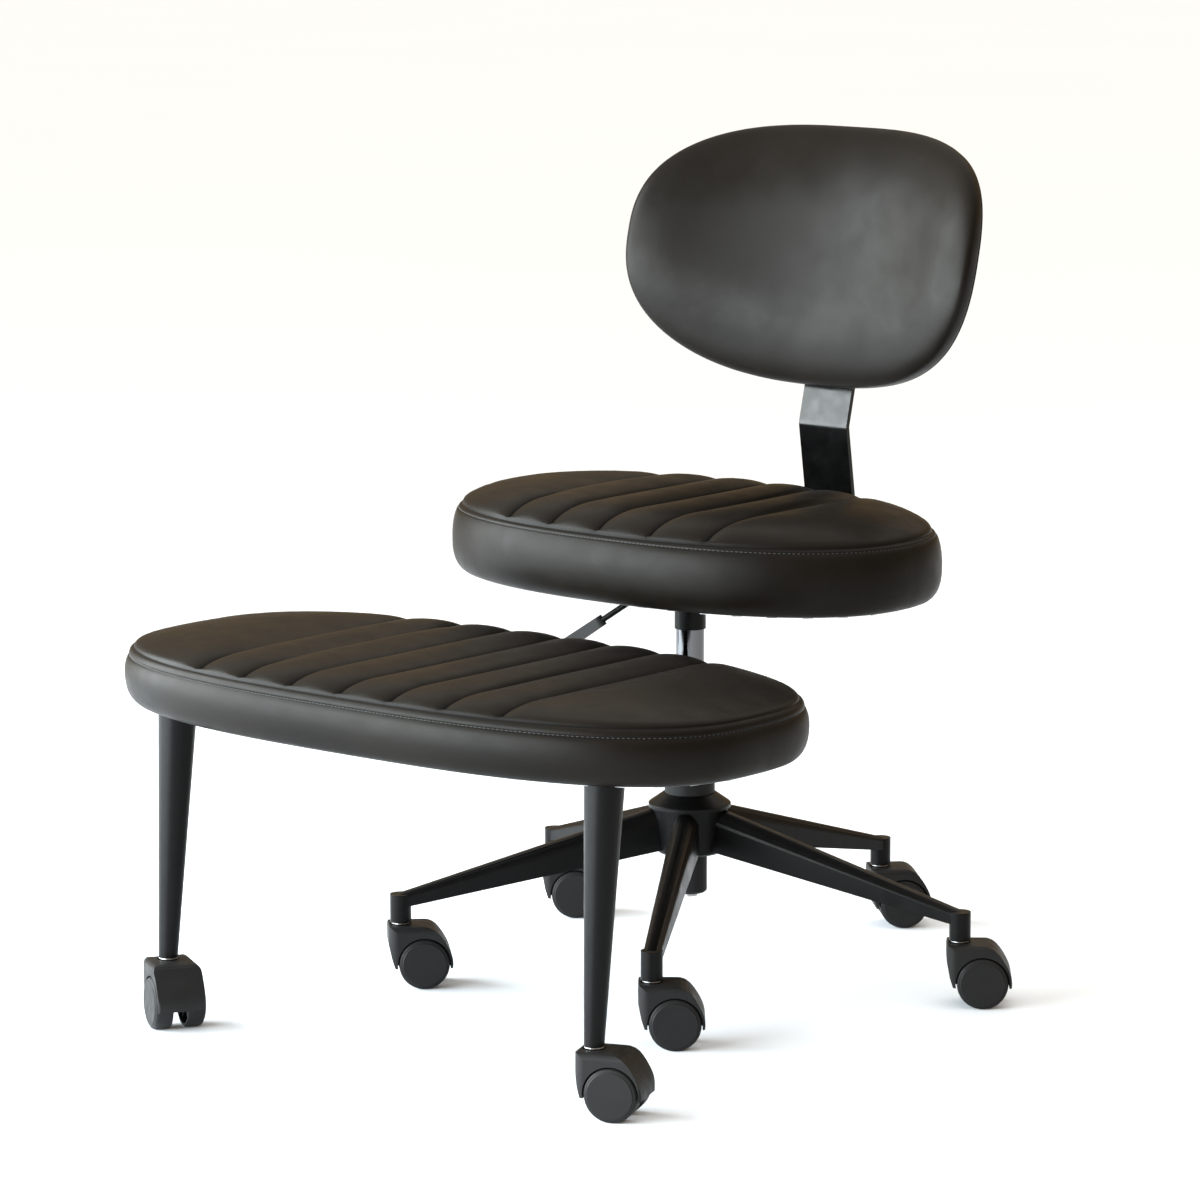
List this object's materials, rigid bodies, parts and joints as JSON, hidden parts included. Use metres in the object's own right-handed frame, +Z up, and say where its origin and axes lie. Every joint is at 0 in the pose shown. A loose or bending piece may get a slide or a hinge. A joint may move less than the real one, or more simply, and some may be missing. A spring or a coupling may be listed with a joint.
{
  "type": "cross-legged office chair",
  "caption": "Cross-legged chair: padded seat with a low curved backrest on a gas lift and a caster star base, and a long padded bench that turns round the column on its own casters.",
  "frame": {"origin": "on the floor, on the axis of the column about which the seat and the bench both turn", "axes": "+Z up along the column, -Y forward from the backrest over the bench, +X to the right in a view from the front, so the sitter's right hand and the lever are on the -X side"},
  "size_m": [0.7358, 0.8731, 0.8279],
  "materials": {
    "leather": "satin",
    "black_steel": "satin",
    "column_paint": "matte",
    "chrome": "polished",
    "plain_steel": "brushed",
    "black_plastic": "matte",
    "board": "stained plywood"
  },
  "bodies": {
    "base": {"base_hub": "black_steel", "hub_collar": "black_steel", "base_leg_front": "black_steel", "base_leg_right": "black_steel", "base_leg_back_right": "black_steel", "base_leg_back_left": "black_steel", "base_leg_left": "black_steel", "gas_column": "column_paint", "guide_bushing": "black_plastic", "base_caster_stems": "chrome", "carry_ring": "black_steel"},
    "lift_rod": {"piston_rod": "plain_steel"},
    "seat": {"gas_cylinder": "chrome", "seat_mechanism": "black_steel", "seat_bolts": "plain_steel", "seat_board": "board", "seat_cushion": "leather", "back_bar": "black_steel", "back_bolts": "plain_steel", "back_board": "board", "back_cushion": "leather"},
    "lever": {"lever_rod": "black_steel", "lever_grip": "black_plastic"},
    "valve": {"valve_button": "plain_steel"},
    "bench": {"bench_liner": "black_plastic", "bench_bracket": "black_steel", "bench_board": "board", "bench_cushion": "leather", "bench_leg_right": "black_steel", "bench_leg_left": "black_steel", "bench_bolts": "plain_steel", "bench_caster_stems": "chrome"},
    "front_caster": {"front_caster_hood": "black_plastic", "front_caster_axle": "plain_steel"},
    "front_wheel_a": {"front_caster_wheel_a": "black_plastic"},
    "front_wheel_b": {"front_caster_wheel_b": "black_plastic"},
    "right_caster": {"right_caster_hood": "black_plastic", "right_caster_axle": "plain_steel"},
    "right_wheel_a": {"right_caster_wheel_a": "black_plastic"},
    "right_wheel_b": {"right_caster_wheel_b": "black_plastic"},
    "back_right_caster": {"back_right_caster_hood": "black_plastic", "back_right_caster_axle": "plain_steel"},
    "back_right_wheel_a": {"back_right_caster_wheel_a": "black_plastic"},
    "back_right_wheel_b": {"back_right_caster_wheel_b": "black_plastic"},
    "back_left_caster": {"back_left_caster_hood": "black_plastic", "back_left_caster_axle": "plain_steel"},
    "back_left_wheel_a": {"back_left_caster_wheel_a": "black_plastic"},
    "back_left_wheel_b": {"back_left_caster_wheel_b": "black_plastic"},
    "left_caster": {"left_caster_hood": "black_plastic", "left_caster_axle": "plain_steel"},
    "left_wheel_a": {"left_caster_wheel_a": "black_plastic"},
    "left_wheel_b": {"left_caster_wheel_b": "black_plastic"},
    "bench_right_caster": {"bench_right_caster_hood": "black_plastic", "bench_right_caster_axle": "plain_steel"},
    "bench_right_wheel_a": {"bench_right_caster_wheel_a": "black_plastic"},
    "bench_right_wheel_b": {"bench_right_caster_wheel_b": "black_plastic"},
    "bench_left_caster": {"bench_left_caster_hood": "black_plastic", "bench_left_caster_axle": "plain_steel"},
    "bench_left_wheel_a": {"bench_left_caster_wheel_a": "black_plastic"},
    "bench_left_wheel_b": {"bench_left_caster_wheel_b": "black_plastic"}
  },
  "joints": [
    {"name": "seat_swivel", "type": "hinge", "parent": "base", "child": "lift_rod", "pos_m": [0, 0, 0.2], "axis": [0, 0, 1], "continuous": true},
    {"name": "seat_height", "type": "slide", "parent": "lift_rod", "child": "seat", "axis": [0, 0, 1], "range_m": [0, 0.09]},
    {"name": "lever_lift", "type": "hinge", "parent": "seat", "child": "lever", "pos_m": [-0.03152, -0.01274, 0.382], "axis": [-0.3746, 0.9272, 0], "range_deg": [0, 6], "stiffness_Nm_per_rad": 1},
    {"name": "valve_press", "type": "slide", "parent": "seat", "child": "valve", "axis": [0, 0, -1], "range_m": [0, 0.004], "stiffness_N_per_m": 300},
    {"name": "bench_swivel", "type": "hinge", "parent": "base", "child": "bench", "pos_m": [0, 0, 0.28], "axis": [0, 0, 1], "continuous": true},
    {"name": "front_caster_swivel", "type": "hinge", "parent": "base", "child": "front_caster", "pos_m": [0.15109, -0.24753, 0.055], "axis": [0, 0, 1], "continuous": true},
    {"name": "front_wheel_a_spin", "type": "hinge", "parent": "front_caster", "child": "front_wheel_a", "pos_m": [0.16819, -0.23369, 0.025], "axis": [-0.6293, 0.7771, 0], "continuous": true},
    {"name": "front_wheel_b_spin", "type": "hinge", "parent": "front_caster", "child": "front_wheel_b", "pos_m": [0.16819, -0.23369, 0.025], "axis": [-0.6293, 0.7771, 0], "continuous": true},
    {"name": "right_caster_swivel", "type": "hinge", "parent": "base", "child": "right_caster", "pos_m": [0.2821, 0.06721, 0.055], "axis": [0, 0, 1], "continuous": true},
    {"name": "right_wheel_a_spin", "type": "hinge", "parent": "right_caster", "child": "right_wheel_a", "pos_m": [0.29968, 0.08045, 0.025], "axis": [-0.6018, 0.7986, 0], "continuous": true},
    {"name": "right_wheel_b_spin", "type": "hinge", "parent": "right_caster", "child": "right_wheel_b", "pos_m": [0.29968, 0.08045, 0.025], "axis": [-0.6018, 0.7986, 0], "continuous": true},
    {"name": "back_right_caster_swivel", "type": "hinge", "parent": "base", "child": "back_right_caster", "pos_m": [0.02326, 0.28907, 0.055], "axis": [0, 0, 1], "continuous": true},
    {"name": "back_right_wheel_a_spin", "type": "hinge", "parent": "back_right_caster", "child": "back_right_wheel_a", "pos_m": [0.03881, 0.30462, 0.025], "axis": [-0.7071, 0.7071, 0], "continuous": true},
    {"name": "back_right_wheel_b_spin", "type": "hinge", "parent": "back_right_caster", "child": "back_right_wheel_b", "pos_m": [0.03881, 0.30462, 0.025], "axis": [-0.7071, 0.7071, 0], "continuous": true},
    {"name": "back_left_caster_swivel", "type": "hinge", "parent": "base", "child": "back_left_caster", "pos_m": [-0.26773, 0.11145, 0.055], "axis": [0, 0, 1], "continuous": true},
    {"name": "back_left_wheel_a_spin", "type": "hinge", "parent": "back_left_caster", "child": "back_left_wheel_a", "pos_m": [-0.25063, 0.12529, 0.025], "axis": [-0.6293, 0.7771, 0], "continuous": true},
    {"name": "back_left_wheel_b_spin", "type": "hinge", "parent": "back_left_caster", "child": "back_left_wheel_b", "pos_m": [-0.25063, 0.12529, 0.025], "axis": [-0.6293, 0.7771, 0], "continuous": true},
    {"name": "left_caster_swivel", "type": "hinge", "parent": "base", "child": "left_caster", "pos_m": [-0.18873, -0.22019, 0.055], "axis": [0, 0, 1], "continuous": true},
    {"name": "left_wheel_a_spin", "type": "hinge", "parent": "left_caster", "child": "left_wheel_a", "pos_m": [-0.17317, -0.20463, 0.025], "axis": [-0.7071, 0.7071, 0], "continuous": true},
    {"name": "left_wheel_b_spin", "type": "hinge", "parent": "left_caster", "child": "left_wheel_b", "pos_m": [-0.17317, -0.20463, 0.025], "axis": [-0.7071, 0.7071, 0], "continuous": true},
    {"name": "bench_right_caster_swivel", "type": "hinge", "parent": "bench", "child": "bench_right_caster", "pos_m": [0.2644, -0.4704, 0.055], "axis": [0, 0, 1], "continuous": true},
    {"name": "bench_right_wheel_a_spin", "type": "hinge", "parent": "bench_right_caster", "child": "bench_right_wheel_a", "pos_m": [0.2848, -0.46216, 0.025], "axis": [-0.3746, 0.9272, 0], "continuous": true},
    {"name": "bench_right_wheel_b_spin", "type": "hinge", "parent": "bench_right_caster", "child": "bench_right_wheel_b", "pos_m": [0.2848, -0.46216, 0.025], "axis": [-0.3746, 0.9272, 0], "continuous": true},
    {"name": "bench_left_caster_swivel", "type": "hinge", "parent": "bench", "child": "bench_left_caster", "pos_m": [-0.2644, -0.4704, 0.055], "axis": [0, 0, 1], "continuous": true},
    {"name": "bench_left_wheel_a_spin", "type": "hinge", "parent": "bench_left_caster", "child": "bench_left_wheel_a", "pos_m": [-0.24554, -0.48173, 0.025], "axis": [0.515, 0.8572, 0], "continuous": true},
    {"name": "bench_left_wheel_b_spin", "type": "hinge", "parent": "bench_left_caster", "child": "bench_left_wheel_b", "pos_m": [-0.24554, -0.48173, 0.025], "axis": [0.515, 0.8572, 0], "continuous": true}
  ],
  "couplings": [
    {"joint": "valve_press", "follows": "lever_lift", "m_per_rad": 0.038}
  ]
}
